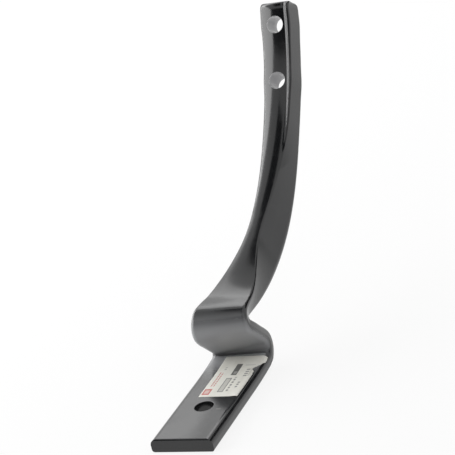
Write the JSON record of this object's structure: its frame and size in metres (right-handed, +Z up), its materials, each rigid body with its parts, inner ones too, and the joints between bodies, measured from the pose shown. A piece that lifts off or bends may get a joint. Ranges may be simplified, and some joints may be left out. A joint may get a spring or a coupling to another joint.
{
  "type": "harrow tine",
  "caption": "Bent spring-steel harrow tine: flat mounting plate, S-shaped crank, curved leg with a pressed keystone section and a bolt-on tip end.",
  "frame": {"origin": "centre of the plate's bolt hole, on the plate's underside", "axes": "+X across the bar, +Y along the plate from the cut end to the crank, +Z up, out of the plate's upper face"},
  "size_m": [0.0603, 0.4397, 0.2751],
  "materials": {
    "black_paint": "gloss black paint over forged steel",
    "label_paper": "matt adhesive label, slightly yellowed"
  },
  "bodies": {
    "root": {"tine": "black_paint", "paper_label": "label_paper"}
  },
  "joints": []
}
